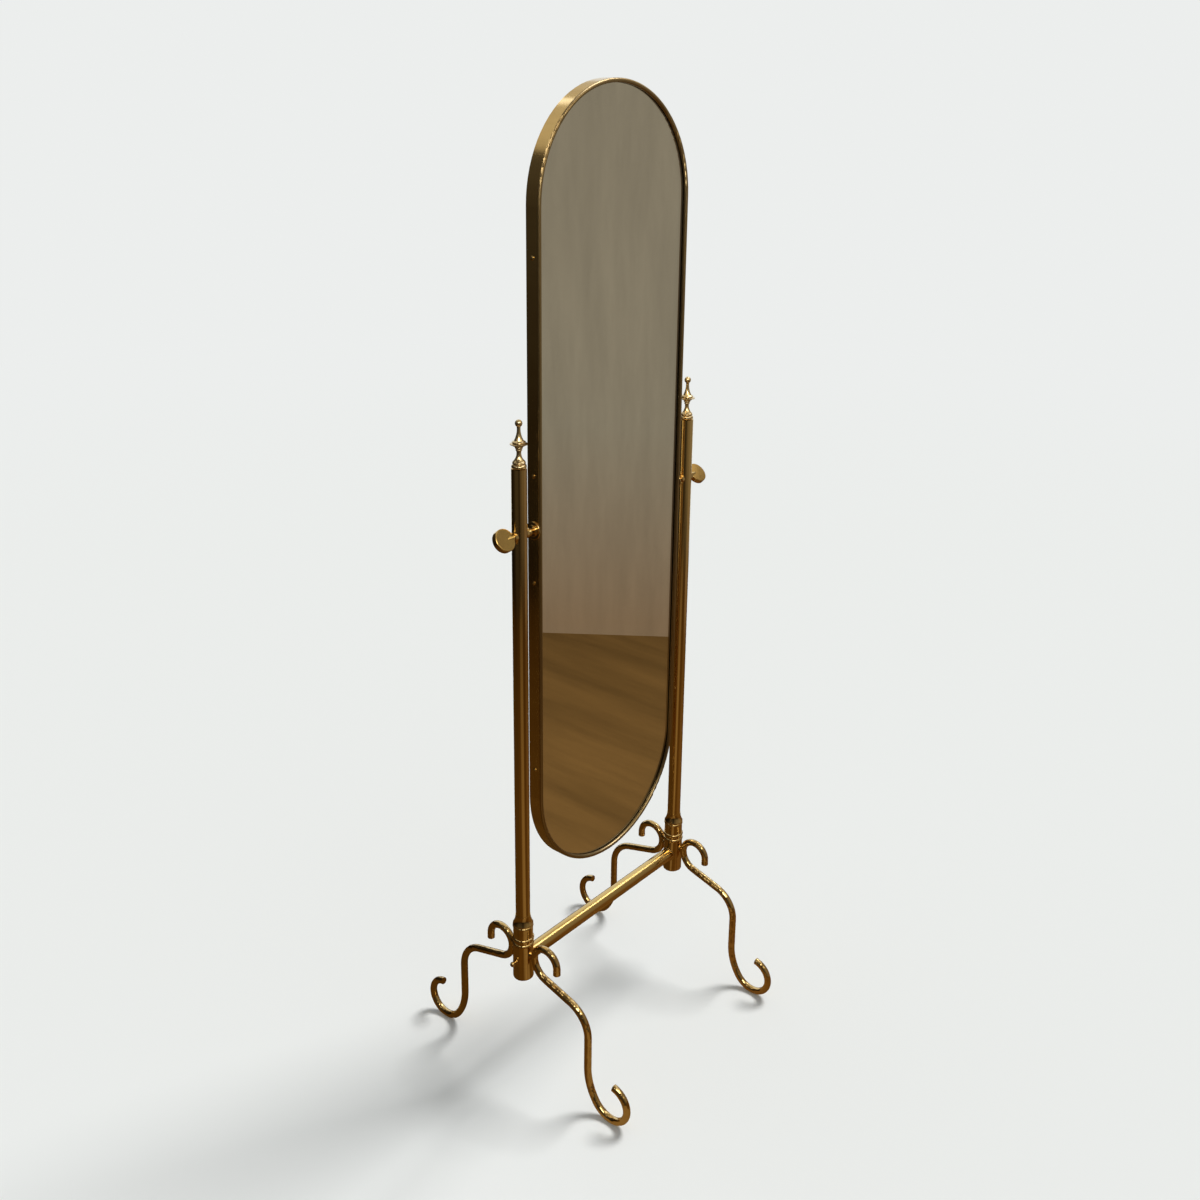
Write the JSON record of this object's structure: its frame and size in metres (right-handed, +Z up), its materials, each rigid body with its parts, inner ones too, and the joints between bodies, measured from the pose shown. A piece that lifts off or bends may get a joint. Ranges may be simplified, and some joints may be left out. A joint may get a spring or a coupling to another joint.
{
  "type": "cheval mirror",
  "caption": "Tall round-ended mirror in a brass frame, tilting between two turned-capped posts on scrolled rod legs with a stretcher.",
  "frame": {"origin": "on the floor under the middle of the stretcher", "axes": "+X along the stretcher towards the right post, -Y towards the viewer that the mirror faces, +Z up"},
  "size_m": [0.5382, 0.4864, 1.691],
  "materials": {
    "left_post": "polished and lacquered",
    "left_post_plug": "polished and lacquered",
    "left_finial": "polished and lacquered",
    "left_socket": "polished and lacquered",
    "left_front_leg": "polished and lacquered",
    "left_rear_leg": "polished and lacquered",
    "left_stretcher_plug": "polished and lacquered",
    "left_stretcher_screw": "polished and lacquered",
    "left_inner_saddle": "polished and lacquered",
    "left_outer_saddle": "polished and lacquered",
    "left_ball_spacer": "polished and lacquered",
    "right_post": "polished and lacquered",
    "right_post_plug": "polished and lacquered",
    "right_finial": "polished and lacquered",
    "right_socket": "polished and lacquered",
    "right_front_leg": "polished and lacquered",
    "right_rear_leg": "polished and lacquered",
    "right_stretcher_plug": "polished and lacquered",
    "right_stretcher_screw": "polished and lacquered",
    "right_inner_saddle": "polished and lacquered",
    "right_outer_saddle": "polished and lacquered",
    "right_ball_spacer": "polished and lacquered",
    "stretcher": "polished and lacquered",
    "frame_band": "polished and lacquered",
    "front_bezel": "polished and lacquered",
    "mirror_glass": "silvered float glass",
    "backing_board": "stained plywood",
    "left_rosette": "polished and lacquered",
    "right_rosette": "polished and lacquered",
    "left_pivot_bar": "plain",
    "right_pivot_bar": "plain",
    "pivot_bar_screws": "polished and lacquered",
    "board_screws": "polished and lacquered",
    "left_thumb_screw": "polished and lacquered",
    "right_thumb_screw": "polished and lacquered"
  },
  "bodies": {
    "stand": {"left_post": "left_post", "left_post_plug": "left_post_plug", "left_finial": "left_finial", "left_socket": "left_socket", "left_front_leg": "left_front_leg", "left_rear_leg": "left_rear_leg", "left_stretcher_plug": "left_stretcher_plug", "left_stretcher_screw": "left_stretcher_screw", "left_inner_saddle": "left_inner_saddle", "left_outer_saddle": "left_outer_saddle", "left_ball_spacer": "left_ball_spacer", "right_post": "right_post", "right_post_plug": "right_post_plug", "right_finial": "right_finial", "right_socket": "right_socket", "right_front_leg": "right_front_leg", "right_rear_leg": "right_rear_leg", "right_stretcher_plug": "right_stretcher_plug", "right_stretcher_screw": "right_stretcher_screw", "right_inner_saddle": "right_inner_saddle", "right_outer_saddle": "right_outer_saddle", "right_ball_spacer": "right_ball_spacer", "stretcher": "stretcher"},
    "mirror": {"frame_band": "frame_band", "front_bezel": "front_bezel", "mirror_glass": "mirror_glass", "backing_board": "backing_board", "left_rosette": "left_rosette", "right_rosette": "right_rosette", "left_pivot_bar": "left_pivot_bar", "right_pivot_bar": "right_pivot_bar", "pivot_bar_screws": "pivot_bar_screws", "board_screws": "board_screws"},
    "left_knob": {"left_thumb_screw": "left_thumb_screw"},
    "right_knob": {"right_thumb_screw": "right_thumb_screw"}
  },
  "joints": [
    {"name": "mirror_tilt", "type": "hinge", "parent": "stand", "child": "mirror", "pos_m": [0, 0, 1.0085], "axis": [1, 0, 0], "continuous": true},
    {"name": "left_thumb_screw_turn", "type": "hinge", "parent": "mirror", "child": "left_knob", "pos_m": [-0.2501, 0, 1.0085], "axis": [-1, 0, 0], "range_deg": [0, 360]},
    {"name": "right_thumb_screw_turn", "type": "hinge", "parent": "mirror", "child": "right_knob", "pos_m": [0.2501, 0, 1.0085], "axis": [1, 0, 0], "range_deg": [0, 360]}
  ]
}
